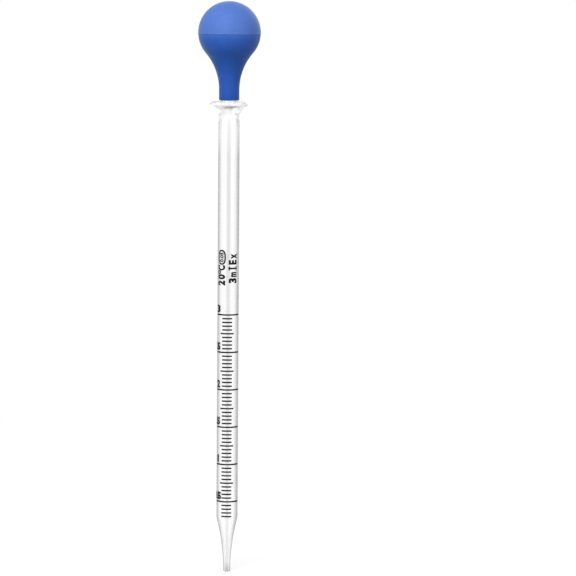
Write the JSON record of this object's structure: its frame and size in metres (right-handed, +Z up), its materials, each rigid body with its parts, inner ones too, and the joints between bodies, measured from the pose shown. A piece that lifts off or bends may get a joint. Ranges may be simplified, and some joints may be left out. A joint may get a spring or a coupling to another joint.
{
  "type": "dropping pipette with rubber bulb",
  "caption": "Graduated glass dropping pipette: drawn jet, printed scale, flared collar and a hollow round rubber bulb whose sides squeeze in and which pulls off its nipple.",
  "frame": {"origin": "centre of the jet's end, the lowest point of the pipette", "axes": "+Z up along the pipette's axis towards the bulb, -Y out of the printed scale's front, X across it"},
  "size_m": [0.025, 0.025, 0.2288],
  "materials": {
    "glass": "clear drawn laboratory glass, fire polished",
    "rubber": "matt blue moulded rubber",
    "scale_print": "fired black enamel print"
  },
  "bodies": {
    "glass": {"glass_jet": "glass", "glass_barrel": "glass", "glass_collar": "glass", "full_scale_lines": "scale_print", "half_scale_lines": "scale_print", "short_scale_lines": "scale_print"},
    "bulb": {"rubber_bulb": "rubber"},
    "thumb_side": {"thumb_wall": "rubber"},
    "finger_side": {"finger_wall": "rubber"}
  },
  "joints": [
    {"name": "bulb_pull_off", "type": "slide", "parent": "glass", "child": "bulb", "axis": [0, 0, 1], "range_m": [0, 0.0165]},
    {"name": "thumb_squeeze", "type": "slide", "parent": "bulb", "child": "thumb_side", "axis": [-1, 0, 0], "range_m": [0, 0.0055], "stiffness_N_per_m": 1200},
    {"name": "finger_squeeze", "type": "slide", "parent": "bulb", "child": "finger_side", "axis": [1, 0, 0], "range_m": [0, 0.0055], "stiffness_N_per_m": 1200}
  ],
  "couplings": [
    {"joint": "finger_squeeze", "follows": "thumb_squeeze", "ratio": 1}
  ]
}
